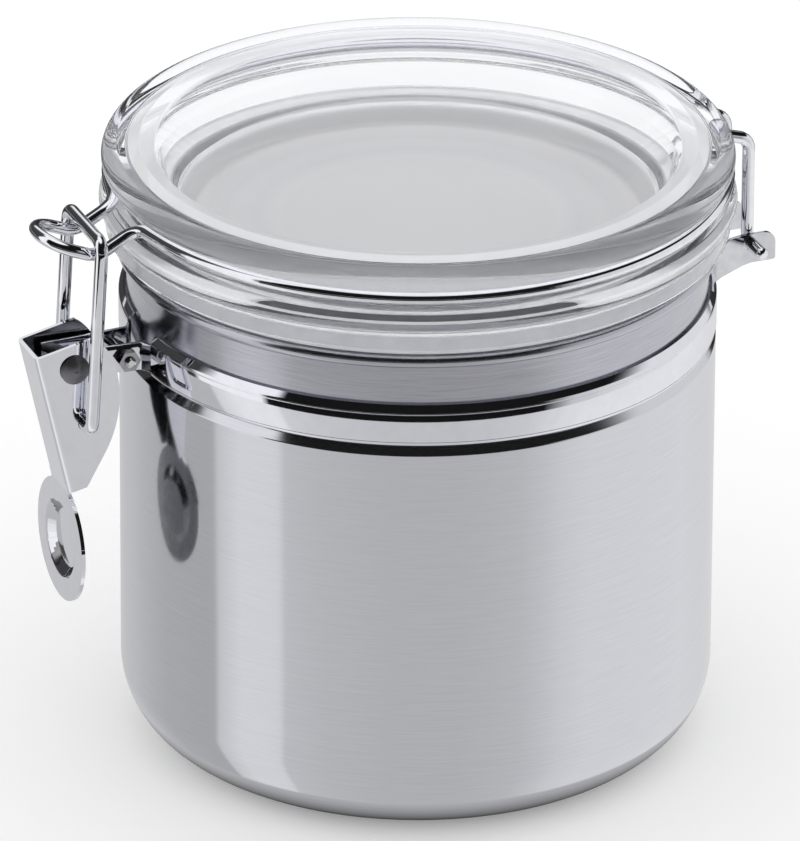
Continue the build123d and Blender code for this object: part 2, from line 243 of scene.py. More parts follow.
def brushed(name, dark, light, rough, anisotropy, grain=1.0, metal=1.0):
    # brushed round the axis: the lines run level, so the glints spread upright
    look = brushedLook
    material, nodes, links, shader = newMaterial(name)
    shader.inputs["Metallic"].default_value = metal
    shader.inputs["Anisotropic"].default_value = anisotropy
    shader.inputs["Anisotropic Rotation"].default_value = look["turn"]
    tangent = nodes.new("ShaderNodeTangent")
    tangent.direction_type = "RADIAL"
    tangent.axis = "Z"
    links.new(tangent.outputs["Tangent"], shader.inputs["Tangent"])
    lines = streaks(nodes, links, *look["lines"])
    long = streaks(nodes, links, *look["long"])
    links.new(tinted(nodes, links, lines, dark, light), shader.inputs["Base Color"])
    smoothest, roughest = [rough * share for share in look["swing"]]
    links.new(ranged(nodes, links, long, smoothest, roughest), shader.inputs["Roughness"])
    strength, depth = look["bump"]
    bumped(nodes, links, lines, shader, strength * grain, depth)
    return material


# bend is the index of refraction, lower than the plastic's own, which keeps the lid bright
plasticLook = {"tint": (0.97, 0.975, 1.0, 1), "bend": 1.26, "flow": ((1, 1, 1), 45.0, 2.0),
               "bump": (0.05, 0.4), "ringDetail": 2.0, "ringFade": (18.0, 36.0),
               "ringTints": ((0.92, 0.925, 0.96), (1.0, 1.0, 1.0))}


def ringNoise(nodes, links, scale):
    # noise on the distance from the axis, which fades out towards the middle
    place = nodes.new("ShaderNodeTexCoord")
    flat = nodes.new("ShaderNodeVectorMath")
    flat.operation = "MULTIPLY"
    flat.inputs[1].default_value = (1, 1, 0)
    links.new(place.outputs["Object"], flat.inputs[0])
    radius = nodes.new("ShaderNodeVectorMath")
    radius.operation = "LENGTH"
    links.new(flat.outputs["Vector"], radius.inputs[0])
    line = nodes.new("ShaderNodeCombineXYZ")
    links.new(radius.outputs["Value"], line.inputs["X"])
    wave = nodes.new("ShaderNodeTexNoise")
    wave.inputs["Scale"].default_value = scale
    wave.inputs["Detail"].default_value = plasticLook["ringDetail"]
    links.new(line.outputs["Vector"], wave.inputs["Vector"])
    outward = nodes.new("ShaderNodeMapRange")
    outward.interpolation_type = "SMOOTHSTEP"
    for end, distance in zip(("From Min", "From Max"), plasticLook["ringFade"]):
        outward.inputs[end].default_value = distance * mm
    links.new(radius.outputs["Value"], outward.inputs["Value"])
    swing = mathIn(nodes, links, "SUBTRACT", wave.outputs["Fac"], 0.5)
    kept = mathIn(nodes, links, "MULTIPLY", swing, outward.outputs["Result"])
    return mathIn(nodes, links, "ADD", kept, 0.5)


def clearPlastic(name, smoothest, roughest, milk, ringScale=0.0):
    # clear moulded plastic: milk is its milky share, ringScale that of its moulding rings
    look = plasticLook
    material, nodes, links, shader = newMaterial(name)
    shader.inputs["Base Color"].default_value = look["tint"]
    shader.inputs["Transmission Weight"].default_value = 1.0 - milk
    shader.inputs["IOR"].default_value = look["bend"]
    flow = streaks(nodes, links, *look["flow"])
    links.new(ranged(nodes, links, flow, smoothest, roughest), shader.inputs["Roughness"])
    bumped(nodes, links, flow, shader, *look["bump"])
    if ringScale:
        rings = ringNoise(nodes, links, ringScale)
        links.new(tinted(nodes, links, rings, *look["ringTints"]), shader.inputs["Base Color"])
    return material


siliconeLook = {"cloud": ((1, 1, 1), 220.0, 4.0), "tints": ((0.80, 0.81, 0.83), (0.90, 0.91, 0.93)),
                "clear": 0.30, "bend": 1.41, "rough": (0.32, 0.46), "bump": (0.1, 0.05)}


def silicone(name):
    look = siliconeLook
    material, nodes, links, shader = newMaterial(name)
    cloud = streaks(nodes, links, *look["cloud"])
    links.new(tinted(nodes, links, cloud, *look["tints"]), shader.inputs["Base Color"])
    shader.inputs["Transmission Weight"].default_value = look["clear"]
    shader.inputs["IOR"].default_value = look["bend"]
    links.new(ranged(nodes, links, cloud, *look["rough"]), shader.inputs["Roughness"])
    bumped(nodes, links, cloud, shader, *look["bump"])
    return material


# steel: darker and lighter tint, roughness; brushed steel also how far its glints spread,
# the strength of its grain and the share of metal
finishes = {
    "shell": brushed("shellBrushedSteel", (0.70, 0.705, 0.75), (0.74, 0.745, 0.79), 0.10, 0.3),
    # the neck's darker tint is partly a more matt brushing and partly painted shade under the lid
    "neck": brushed("neckShadedBrushedSteel", (0.50, 0.505, 0.555), (0.58, 0.585, 0.635), 0.20, 0.4, 1.5),
    "inside": brushed("insideSatinSteel", (0.90, 0.90, 0.92), (0.95, 0.95, 0.97), 0.45, 0.3,
                      metal=0.4),
    "band": chrome("bandPolishedSteel", (0.84, 0.845, 0.90), (0.88, 0.885, 0.94), 0.04),
    "bracket": chrome("bracketPolishedSteel", (0.64, 0.645, 0.68), (0.74, 0.745, 0.78), 0.12),
    "screw": chrome("screwPlatedSteel", (0.74, 0.74, 0.76), (0.85, 0.85, 0.87), 0.10),
    "nut": chrome("nutPlatedSteel", (0.36, 0.36, 0.38), (0.46, 0.46, 0.48), 0.12),
    "rivet": chrome("rivetDullSteel", (0.20, 0.20, 0.21), (0.30, 0.30, 0.31), 0.42),
    "bail": chrome("bailPolishedWire", (0.87, 0.875, 0.92), (0.93, 0.935, 0.98), 0.03),
    "link": chrome("linkPolishedWire", (0.86, 0.865, 0.91), (0.92, 0.925, 0.97), 0.035),
    "lever": chrome("leverPolishedSheet", (0.87, 0.875, 0.92), (0.91, 0.915, 0.97), 0.05),
    # painted shade: dark steel for the lever's inner faces between its side plates
    "leverInnerShade": chrome("leverInnerShadeSheet", (0.28, 0.28, 0.29), (0.38, 0.38, 0.39), 0.16),
    "lid": clearPlastic("lidClearPlastic", 0.0, 0.03, 0.0),
    "lidFloor": clearPlastic("lidFrostedFloor", 0.14, 0.26, 0.55, 200.0),
    "lidWall": clearPlastic("lidRingedWall", 0.0, 0.03, 0.20, 650.0),
    "lidUnder": clearPlastic("lidSatinUnderside", 0.10, 0.20, 0.46),
    # painted highlight: a milky white ring round the lid's opening in place of its edge glint
    "lidLipHighlight": clearPlastic("lidLipPaintedHighlight", 0.02, 0.06, 0.66),
    "seal": silicone("sealSilicone"),
}
print("materials ready")


def dress(piece, finish, body, node):
    if finish:
        piece.data.materials.clear()
        piece.data.materials.append(finishes[finish])
    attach(piece, body)
    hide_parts(node)
    print(piece.name, "made,", len(piece.data.polygons), "faces")


def paint(piece, finish, chosen):
    # gives the faces that chosen(middle, normal) picks a finish of their own
    piece.data.materials.append(finishes[finish])
    last = len(piece.data.materials) - 1
    for face in piece.data.polygons:
        if chosen(face.center / mm, face.normal):
            face.material_index = last


# neckLift is where the neck's finish starts above the shoulder; a face that turns inward or
# up past inward and level is inside
shell = {"radius": 60.0, "height": 108.6, "wall": 0.8, "foot": 16.0, "neckHeight": 19.6,
         "shoulderHeight": 2.3, "shoulderStep": 1.5, "shoulderBend": 0.5,
         "bead": 1.5, "beadLead": 0.3, "beadSteps": 34, "ringRadius": 38.0, "ringWidth": 3.2,
         "ringSlope": 0.8, "ringDepth": 0.7, "ringBend": 0.4, "arcStep": 5.0, "segments": 256,
         "neckLift": 0.1, "inward": -0.05, "level": 0.9}


def shellSkin(inset, top):
    # one skin of the shell, from the middle of the base up to the mouth
    low = shell["ringRadius"] - shell["ringWidth"] / 2
    high = shell["ringRadius"] + shell["ringWidth"] / 2
    neck = shell["radius"] - shell["shoulderStep"]
    shoulder = shell["height"] - shell["neckHeight"]
    lift = inset + shell["ringDepth"]
    corners = [(0, inset), (low - shell["ringSlope"], inset), (low, lift), (high, lift),
               (high + shell["ringSlope"], inset), (shell["radius"] - inset, inset),
               (shell["radius"] - inset, shoulder - shell["shoulderHeight"]),
               (neck - inset, shoulder), (neck - inset, top)]
    corners = [(r, 0, z) for r, z in corners]
    radii = [shell["ringBend"]] * 4 + [shell["foot"] - inset] + [shell["shoulderBend"]] * 2
    return [(p.x, p.z) for p in roundedPath(corners, radii, shell["arcStep"])]


def shellOutline():
    mouth = shell["radius"] - shell["shoulderStep"] - shell["wall"]
    beadRadius, beadHeight = mouth + shell["bead"], shell["height"] - shell["bead"]
    # the bead meets the neck's outer skin below its middle
    reach = shell["radius"] - shell["shoulderStep"] - beadRadius
    meet = -sqrt(shell["bead"]**2 - reach**2)
    startAngle = degrees(acos(reach / shell["bead"]))
    outer = shellSkin(0.0, beadHeight + meet - shell["beadLead"])
    bead = arcPoints((beadRadius, beadHeight), shell["bead"], -startAngle, 180.0,
                     shell["beadSteps"])
    inner = shellSkin(shell["wall"], beadHeight - shell["beadLead"])
    return outer + bead + inner[::-1]


canisterShell = makeObject("canisterShell", *lathe(shellOutline(), shell["segments"]))
dress(canisterShell, "shell", "canister", "canister_body")
neckFoot = shell["height"] - shell["neckHeight"] + shell["neckLift"]
# the neck above the shoulder gets the darker finish: partly more matt steel, partly painted shade
# under the lid
paint(canisterShell, "neck", lambda middle, normal: middle.z > neckFoot)


def facesInward(middle, normal):
    # inner skin of the wall and the floor inside
    outward = Vector((middle.x, middle.y, 0)).dot(normal)
    below = middle.z < shell["height"] - 2 * shell["bead"]
    return below and (outward < shell["inward"] or normal.z > shell["level"])


paint(canisterShell, "inside", facesInward)

# pairs are radius and height, and a bead or groove also has its own radius; hollow is two
# radii and a height, step and plugStep are two heights
lidForm = {"base": 110.4, "skirtOut": 62.6, "skirtIn": 61.0, "ceiling": 113.2,
           "lowBead": (61.7, 116.4, 2.2), "lowBeadRoot": 2.0, "lowBeadSteps": 26,
           "step": (118.8, 119.6), "stepLead": 0.25, "stepSlant": 0.08, "wall": 62.0,
           "groove": (62.0, 121.8, 1.6), "topBead": (60.6, 125.4, 2.8), "land": (58.4, 127.5),
           "lip": (55.8, 128.2), "mouth": (52.8, 127.6), "knee": (47.5, 116.2),
           "floorTop": (44.3, 111.6), "floorUnder": 108.8, "hollow": (47.0, 49.5, 113.5),
           "plugInner": 52.4, "plug": 55.4, "plugFoot": (54.2, 104.8), "plugStep": (106.8, 107.4),
           "bend": 0.6, "lipBend": 1.0, "wellBend": 2.0, "underStep": 10.0, "wellStep": 6.0,
           "grooveStart": 270.0, "grooveSteps": 24, "topBeadEnd": 92.0, "topBeadSteps": 34,
           "topLead": 0.4, "segments": 288, "smoothAngle": 40.0}


def circleSide(circle, start, end, count):
    # part of a (radius, height, own radius) bead or groove
    return arcPoints(circle[:2], circle[2], start, end, count)


def lidOutline():
    form = lidForm
    plugRadius, plugFoot = form["plugFoot"]
    hollowFoot, hollowTop, hollowHeight = form["hollow"]
    bend, lipBend = form["bend"], form["lipBend"]
    low, top, groove = form["lowBead"], form["topBead"], form["groove"]
    corners = [(0, form["floorUnder"]), (hollowFoot, form["floorUnder"]), (hollowTop, hollowHeight),
               (form["plugInner"], hollowHeight), (form["plugInner"], plugFoot),
               (plugRadius, plugFoot), (plugRadius, form["plugStep"][0]),
               (form["plug"], form["plugStep"][1]), (form["plug"], form["ceiling"]),
               (form["skirtIn"], form["ceiling"]), (form["skirtIn"], form["base"]),
               (form["skirtOut"], form["base"]), (form["skirtOut"], low[1])]
    radii = [lipBend] * 3 + [bend] * 2 + [bend / 2] * 2 + [bend] * 4
    under = roundedPath([(r, 0, z) for r, z in corners], radii, form["underStep"])
    under = [(p.x, p.z) for p in under if p.z < low[1] - form["lowBeadRoot"]]
    # where the straight wall leaves or enters each round form
    lowEntry = -degrees(acos((form["skirtOut"] - low[0]) / low[2]))
    lowBead = circleSide(low, lowEntry, -lowEntry, form["lowBeadSteps"])
    lead, slant, (stepLow, stepHigh) = form["stepLead"], form["stepSlant"], form["step"]
    steps = [(form["skirtOut"], stepLow - lead), (form["skirtOut"] - slant, stepLow),
             (form["wall"] + slant, stepHigh), (form["wall"], stepHigh + lead)]
    # the groove ends where its circle meets the top bead's
    apart = Vector((top[0] - groove[0], top[1] - groove[1]))
    along = (apart.length_squared + groove[2]**2 - top[2]**2) / (2 * apart.length)
    meet = Vector(groove[:2]) + apart.normalized() * along
    meet += Vector((apart.y, -apart.x)).normalized() * sqrt(groove[2]**2 - along**2)
    grooveEnd = degrees(atan2(meet.y - groove[1], meet.x - groove[0]))
    beadStart = degrees(atan2(meet.y - top[1], meet.x - top[0]))
    hollow = circleSide(groove, form["grooveStart"], grooveEnd, form["grooveSteps"])
    topBead = circleSide(top, beadStart, form["topBeadEnd"], form["topBeadSteps"])
    corners = [(top[0] - form["topLead"], top[1] + top[2]), form["land"], form["lip"],
               form["mouth"], form["knee"], form["floorTop"], (0, form["floorTop"][1])]
    radii = [lipBend] * 3 + [form["wellBend"]] * 2
    well = roundedPath([(r, 0, z) for r, z in corners], radii, form["wellStep"])
    return under + lowBead + steps + hollow + topBead + [(p.x, p.z) for p in well]


clearLid = makeObject("clearLid", *lathe(lidOutline(), lidForm["segments"]),
                      smoothAngle=lidForm["smoothAngle"])
dress(clearLid, "lid", "lid", "lid")

# which faces of the lid are frosted, ringed or milky, the milky lip being a painted highlight:
# heights, and how far they face up
lidAreas = {"floorFoot": lidForm["floorUnder"] + 0.1, "kneeTop": lidForm["knee"][1] + 1.3,
            "floorFacing": 0.3, "underTop": lidForm["lowBead"][1] - 2.8, "underFacing": -0.5,
            "lipFoot": lidForm["mouth"][1] - 0.8,
            "lipSide": (lidForm["lip"][0] + lidForm["land"][0]) / 2}


def onFloor(middle, normal):
    areas = lidAreas
    return areas["floorFoot"] < middle.z < areas["kneeTop"] and normal.z > areas["floorFacing"]


def onWellWall(middle, normal):
    level = lidAreas["kneeTop"] <= middle.z < lidAreas["lipFoot"]
    inward = middle.to_2d().dot(normal.to_2d()) < 0
    return level and inward and middle.to_2d().length < lidForm["lip"][0]


def onUnderside(middle, normal):
    inside = middle.to_2d().length < lidForm["skirtIn"]
    return inside and normal.z < lidAreas["underFacing"] and middle.z < lidAreas["underTop"]


# faces round the opening that carry the painted highlight
def onLipHighlight(middle, normal):
    return middle.z > lidAreas["lipFoot"] and middle.to_2d().length < lidAreas["lipSide"]


paint(clearLid, "lidFloor", onFloor)
paint(clearLid, "lidWall", onWellWall)
paint(clearLid, "lidUnder", onUnderside)
# the lip's milky white is a painted highlight
paint(clearLid, "lidLipHighlight", onLipHighlight)

# seam is where the section's outline starts and ends on its inner face
seal = {"inner": 55.45, "outer": 60.3, "top": 113.1, "under": 110.7, "lipIn": 58.3,
        "lipFoot": 108.85, "wiper": 56.45, "wiperFoot": 107.3, "seam": (110.0, 109.9),
        "bend": 0.4, "arcStep": 15.0, "segments": 192}
sealCorners = [("inner", seal["seam"][0]), ("inner", seal["top"]), ("outer", seal["top"]),
               ("outer", seal["lipFoot"]), ("lipIn", seal["lipFoot"]), ("lipIn", seal["under"]),
               ("wiper", seal["under"]), ("wiper", seal["wiperFoot"]),
               ("inner", seal["wiperFoot"]), ("inner", seal["seam"][1])]
sealPath = roundedPath([(seal[side], 0, z) for side, z in sealCorners], seal["bend"],
                       seal["arcStep"])
sealOutline = [(p.x, p.z) for p in sealPath]
siliconeSeal = makeObject("siliconeSeal", *lathe(sealOutline, seal["segments"]))
dress(siliconeSeal, "seal", "lid", "gasket")
print("spun pieces ready")

# spacing runs along the wire; endRound and endOpening shape the domed ends, as a share of
# the wire's radius and as the square of the end's width
wireForm = {"sides": 24, "spacing": 0.4, "endRound": 0.5, "endOpening": 0.09}


def wireTree():
    tree = bpy.data.node_groups.new("bentWire", "GeometryNodeTree")
    sockets = {}
    for name, kind, value in (("Path", "NodeSocketGeometry", None),
                              ("Wire radius", "NodeSocketFloat", mm),
                              ("Spacing", "NodeSocketFloat", wireForm["spacing"] * mm),
                              ("End round", "NodeSocketFloat", wireForm["endRound"] * mm),
                              ("Sides", "NodeSocketInt", wireForm["sides"]),
                              ("Finish", "NodeSocketMaterial", None)):
        socket = tree.interface.new_socket(name, in_out="INPUT", socket_type=kind)
        if value is not None:
            socket.default_value = value
        sockets[name] = socket.identifier
    tree.interface.new_socket("Wire", in_out="OUTPUT", socket_type="NodeSocketGeometry")
    nodes, links = tree.nodes, tree.links
    given, result = nodes.new("NodeGroupInput"), nodes.new("NodeGroupOutput")
    spread = nodes.new("GeometryNodeResampleCurve")
    spread.mode = "LENGTH"
    links.new(given.outputs["Path"], spread.inputs["Curve"])
    links.new(given.outputs["Spacing"], spread.inputs["Length"])
    # distance from the nearer end, turned into a domed end
    along = nodes.new("GeometryNodeSplineParameter").outputs["Length"]
    whole = nodes.new("GeometryNodeSplineLength").outputs["Length"]
    back = mathIn(nodes, links, "SUBTRACT", whole, along)
    nearest = mathIn(nodes, links, "MINIMUM", back, along)
    share = mathIn(nodes, links, "DIVIDE", nearest, given.outputs["End round"])
    rest = mathIn(nodes, links, "SUBTRACT", 1.0, mathIn(nodes, links, "MINIMUM", share, 1.0))
    fall = mathIn(nodes, links, "SUBTRACT", 1.0, mathIn(nodes, links, "MULTIPLY", rest, rest))
    dome = mathIn(nodes, links, "MAXIMUM", fall, wireForm["endOpening"])
    ring = nodes.new("GeometryNodeCurvePrimitiveCircle")
    links.new(given.outputs["Sides"], ring.inputs["Resolution"])
    links.new(given.outputs["Wire radius"], ring.inputs["Radius"])
    body = nodes.new("GeometryNodeCurveToMesh")
    body.inputs["Fill Caps"].default_value = True
    links.new(spread.outputs["Curve"], body.inputs["Curve"])
    links.new(mathIn(nodes, links, "SQRT", dome), body.inputs["Scale"])
    links.new(ring.outputs["Curve"], body.inputs["Profile Curve"])
    smooth = nodes.new("GeometryNodeSetShadeSmooth")
    links.new(body.outputs["Mesh"], smooth.inputs["Geometry"])
    real = nodes.new("GeometryNodeRealizeInstances")
    links.new(smooth.outputs["Geometry"], real.inputs["Geometry"])
    coat = nodes.new("GeometryNodeSetMaterial")
    links.new(real.outputs["Geometry"], coat.inputs["Geometry"])
    links.new(given.outputs["Finish"], coat.inputs["Material"])
    links.new(coat.outputs["Geometry"], result.inputs["Wire"])
    return tree, sockets


wireGroup, wireSockets = wireTree()


def bentWire(name, path, radius, finish):
    # round wire along a path, as a plain mesh
    curve = bpy.data.curves.new(name + "Path", "CURVE")
    curve.dimensions = "3D"
    spline = curve.splines.new("POLY")
    spline.points.add(len(path) - 1)
    for point, place in zip(spline.points, path):
        point.co = (*(place * mm), 1)
    holder = bpy.data.objects.new(name + "Path", curve)
    scene.collection.objects.link(holder)
    modifier = holder.modifiers.new("bend", "NODES")
    modifier.node_group = wireGroup
    modifier[wireSockets["Wire radius"]] = radius * mm
    modifier[wireSockets["Spacing"]] = wireForm["spacing"] * mm
    modifier[wireSockets["End round"]] = radius * wireForm["endRound"] * mm
    modifier[wireSockets["Sides"]] = wireForm["sides"]
    modifier[wireSockets["Finish"]] = finishes[finish]
    graph = bpy.context.evaluated_depsgraph_get()
    mesh = bpy.data.meshes.new_from_object(holder.evaluated_get(graph), depsgraph=graph)
    mesh.name = name
    bpy.data.objects.remove(holder)
    wire = bpy.data.objects.new(name, mesh)
    scene.collection.objects.link(wire)
    return wire


# pairs are x and height, each Half is a distance from the middle plane
bail = {"radius": 1.3, "hinge": (69.4, 97.2), "pinHalf": 14.2, "legHalf": 5.9, "legTop": 119.6,
        "ring": 62.0, "ringHeight": 121.8, "startAngle": 10.0, "endAngle": 14.0, "noseHalf": 6.5,
        "valley": (-71.0, 117.0), "tip": (-81.0, 121.0), "tipHalf": 6.3,
        "legBends": [1.6, 3.0, 3.0], "noseBends": [4.0, 5.0, 6.2], "arcStep": 5.0,
        "ringSteps": 120}


def mirrored(points):
    # the same points on the other side of the middle plane, in the opposite order
    return [Vector((x, -y, z)) for x, y, z in points[::-1]]


def bailPath():
    start, end = radians(bail["startAngle"]), radians(bail["endAngle"])
    ring, high = bail["ring"], bail["ringHeight"]
    legHalf, noseHalf = bail["legHalf"], bail["noseHalf"]
    entry = Vector((ring * cos(start), ring * sin(start), high))
    leave = Vector((-ring * cos(end), ring * sin(end), high))
    cornerX = entry.x + (entry.y - legHalf) * tan(start)
    rootX = leave.x - (leave.y - noseHalf) * tan(end)
    hingeX, hingeZ = bail["hinge"]
    legCorners = [(hingeX, bail["pinHalf"], hingeZ), (hingeX, legHalf, hingeZ),
                  (hingeX, legHalf, bail["legTop"]), (cornerX, legHalf, high), entry]
    leg = roundedPath(legCorners, bail["legBends"], bail["arcStep"])
    arc = []
    for i in range(1, bail["ringSteps"]):
        angle = start + (pi - start - end) * i / bail["ringSteps"]
        arc.append(Vector((ring * cos(angle), ring * sin(angle), high)))
    valley, tip = bail["valley"], bail["tip"]
    noseCorners = [leave, (rootX, noseHalf, high), (valley[0], noseHalf, valley[1]),
                   (tip[0], bail["tipHalf"], tip[1])]
    bends = bail["noseBends"] + bail["noseBends"][::-1]
    nose = roundedPath(noseCorners + mirrored(noseCorners), bends, bail["arcStep"])
    return leg + arc + nose + mirrored(leg + arc)


bailWire = bentWire("bailWire", bailPath(), bail["radius"], "bail")
dress(bailWire, None, "bail", "bail_wire")

link = {"radius": 1.35, "hole": (-73.4, 80.4), "bar": (-71.0, 121.0), "pinHalf": 3.56,
        "legHalf": 9.5, "bends": [2.2, 2.5, 2.5, 2.2], "arcStep": 5.0}
linkCorners = [(link["hole"][0], link["pinHalf"], link["hole"][1]),
               (link["hole"][0], link["legHalf"], link["hole"][1]),
               (link["bar"][0], link["legHalf"], link["bar"][1])]
linkPath = roundedPath(linkCorners + mirrored(linkCorners), link["bends"], link["arcStep"])
linkWire = bentWire("linkWire", linkPath, link["radius"], "link")
dress(linkWire, None, "link", "latch_link")
print("wires ready")

band = {"middle": 59.75, "sheet": 0.7, "height": 92.6, "face": 6.0, "edge": 0.16,
        "flangeBend": 0.9, "flangeAngle": 34.0, "flangeRun": 1.35, "hemBend": 0.7, "hemAngle": 40.0,
        "opening": 6.6, "bend": 1.2, "lead": 60.0, "leadRun": 1.96, "taper": 3.0, "earEnd": 79.6,
        "ringSteps": 120, "turnStep": 6, "tailSteps": 8, "edgeSteps": 8, "edgeArcStep": 30.0,
        "segments": 240}
openHalf = degrees(asin(band["opening"] / band["middle"]))      # half the gap for the ears


def turned(path, heading, radius, turn):
    # adds an arc to a plan path, turning by so many degrees, and gives the new heading
    side = 1 if turn > 0 else -1
    x, y = path[-1]
    centre = (x - side * radius * sin(radians(heading)), y + side * radius * cos(radians(heading)))
    steps = max(3, round(abs(turn) / band["turnStep"]))
    for i in range(1, steps + 1):
        now = radians(heading + turn * i / steps)
        path.append((centre[0] + side * radius * sin(now), centre[1] - side * radius * cos(now)))
    return heading + turn


def bandPlan():
    # half of the band seen from above, from the hinge side to the end of one ear
    end = 180 - openHalf
    path = arcPoints((0, 0), band["middle"], 0, end, band["ringSteps"])
    heading = turned(path, end + 90, band["bend"], openHalf - 90 + band["lead"])
    x, y = path[-1]
    run = band["leadRun"]
    path.append((x + run * cos(radians(heading)), y + run * sin(radians(heading))))
    heading = turned(path, heading, band["bend"], band["taper"] - band["lead"])
    x, y = path[-1]
    tail = (x + band["earEnd"]) / cos(radians(band["taper"]))
    for i in range(1, band["tailSteps"] + 1):
        run = tail * i / band["tailSteps"]
        path.append((x + run * cos(radians(heading)), y + run * sin(radians(heading))))
    return path


def stripSection():
    # section of the flat face, with rounded edges
    half, reach = band["sheet"] / 2, band["face"] / 2
    low, high = band["height"] - reach, band["height"] + reach
    corners = [(0, 0, low), (half, 0, low), (half, 0, high), (-half, 0, high), (-half, 0, low),
               (0, 0, low)]
    points = roundedPath(corners, band["edge"], band["edgeArcStep"])[1:-1]
    return [(p.x, p.z) for p in points]


def edgeOutline(side, bend, angle, run):
    # bent edge of the band, the flange above or the hem below its flat face
    start = band["height"] + side * band["face"] / 2
    centre = band["middle"] - bend
    half = band["sheet"] / 2
    outer, inner = [], []
    for i in range(band["edgeSteps"] + 1):
        now = radians(angle * i / band["edgeSteps"])
        for row, offset in ((outer, half), (inner, -half)):
            reach = bend + offset
            row.append((centre + reach * cos(now), start + side * reach * sin(now)))
    for row in (outer, inner):
        if run:
            row.append((row[-1][0] - run * sin(now), row[-1][1] + side * run * cos(now)))
    return outer + inner[::-1]


bandHalf = ribbon(bandPlan(), stripSection())
flange = edgeOutline(1, band["flangeBend"], band["flangeAngle"], band["flangeRun"])
hem = edgeOutline(-1, band["hemBend"], band["hemAngle"], 0.0)
edges = [lathe(outline, band["segments"], 360 - 2 * openHalf, -180 + openHalf)
         for outline in (flange, hem)]
clampBand = makeObject("clampBand", *joined(bandHalf, flipped(bandHalf), *edges))
dress(clampBand, "band", "canister", "clamp_band")

carried = {"hinge_bracket": "bracket", "clamp_screw": "screw", "clamp_nut": "nut",
           "lever_rivet": "rivet", "latch_lever": "lever"}
for node, finish in carried.items():
    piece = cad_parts[node]
    for i in range(len(piece.material_slots)):
        piece.material_slots[i].material = finishes[finish]

# the inner faces of the lever, painted dark as shade between the plates: the web's, and the side
# plates' up to their half distance
leverInnerShade = {"webFacing": 0.6, "half": 5.3, "plateFacing": -0.5}


def shadedInsideLever(middle, normal):
    onPlate = abs(middle.y) < leverInnerShade["half"]
    return (normal.x > leverInnerShade["webFacing"]
            or (onPlate and normal.y * middle.y < leverInnerShade["plateFacing"]))


# paints the lever's inner faces dark as shade
paint(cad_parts["latch_lever"], "leverInnerShade", shadedInsideLever)
print("carried nodes dressed")

# focal is in pixels of the image, imageLong is its long side
camera = {"focal": 11920.0, "imageLong": 841.0, "sensor": 36.0, "distance": 2406.0,
          "target": (0.0, 0.0, 66.0), "azimuth": -22.0, "elevation": 25.4, "yaw": 0.09,
          "roll": 0.28, "clip": (100.0, 20000.0)}


def addCamera():
    azimuth, elevation = radians(camera["azimuth"]), radians(camera["elevation"])
    back = Vector((sin(azimuth) * cos(elevation), -cos(azimuth) * cos(elevation), sin(elevation)))
    place = (Vector(camera["target"]) + back * camera["distance"]) * mm
    data = bpy.data.cameras.new("photoCamera")
    data.sensor_width = camera["sensor"]
    data.lens = camera["focal"] / camera["imageLong"] * camera["sensor"]
    data.clip_start, data.clip_end = [distance * mm for distance in camera["clip"]]
    view = Matrix.Rotation(radians(camera["yaw"]), 3, "Z") @ back
    rotation = view.to_track_quat("Z", "Y").to_matrix()
    rotation = rotation @ Matrix.Rotation(radians(camera["roll"]), 3, "Z")
    photoCamera = bpy.data.objects.new("photoCamera", data)
    photoCamera.matrix_world = Matrix.Translation(place) @ rotation.to_4x4()
    scene.collection.objects.link(photoCamera)
    scene.camera = photoCamera


addCamera()

# paper is the floor's own grey and the glows are strengths; horizon and overhead are heights
# of a direction, from 0 level to 1 straight up; cool is the share of blue in the mirrored greys
studio = {"floorSize": 6000.0, "floorDrop": 0.2, "paper": 0.80, "paperGlow": 0.24,
          "mirrorGlow": 0.66, "cool": 1.01, "horizon": (0.34, 0.46), "overhead": (0.86, 0.94),
          "sheetDrop": 0.1, "sheetInner": 60.0, "sheetLength": 300.0, "sheetFar": 1800.0,
          "sheetSteps": 360, "contactSteps": 180}

# grey levels round the object as the polished metal sees them: share of a turn, level
wallLevels = [(0.0, 0.90), (0.05, 0.80), (0.08, 0.06), (0.25, 0.05), (0.265, 0.95), (0.338, 0.95),
              (0.346, 0.008), (0.90, 0.008), (0.96, 0.80), (1.0, 0.90)]
# grey levels of the sheet on the floor: angle on the shell that mirrors it, level
sheetLevels = [(-90, 0.62), (-72, 0.62), (-66, 0.58), (-57, 0.52), (-46, 0.50), (-42.6, 0.50),
               (-41.4, 0.72), (-36, 0.86), (-29, 0.85), (-27.2, 0.83), (-26, 0.67), (-18, 0.62),
               (-5, 0.58), (8, 0.58), (14, 0.60), (20, 0.63), (25, 0.70), (29, 0.77), (35, 0.83),
               (50, 0.85), (62, 0.86), (72, 0.80), (90, 0.70)]
# grey levels beyond the sheet's near part and low on the walls: angle on the shell, level
farLevels = [(-90, 0.05), (-46, 0.05), (-44.5, 0.95), (-30, 0.95), (-28.5, 0.008), (24, 0.008),
             (30, 0.60), (45, 0.80), (69, 0.80), (72, 0.03), (90, 0.03)]
# radius and grey level of the painted contact shadow round the place where the canister stands
contactShadowLevels = [(48.5, 0.02), (50.5, 0.10), (53.5, 0.26), (57.0, 0.45), (60.0, 0.56)]


def mirrorOnly(nodes, links):
    # 1 for what polished metal mirrors, 0 for the eye, the soft light and through the lid
    rays = nodes.new("ShaderNodeLightPath").outputs
    through = mathIn(nodes, links, "SUBTRACT", 1.0, rays["Is Transmission Ray"])
    return mathIn(nodes, links, "MULTIPLY", rays["Is Glossy Ray"], through)


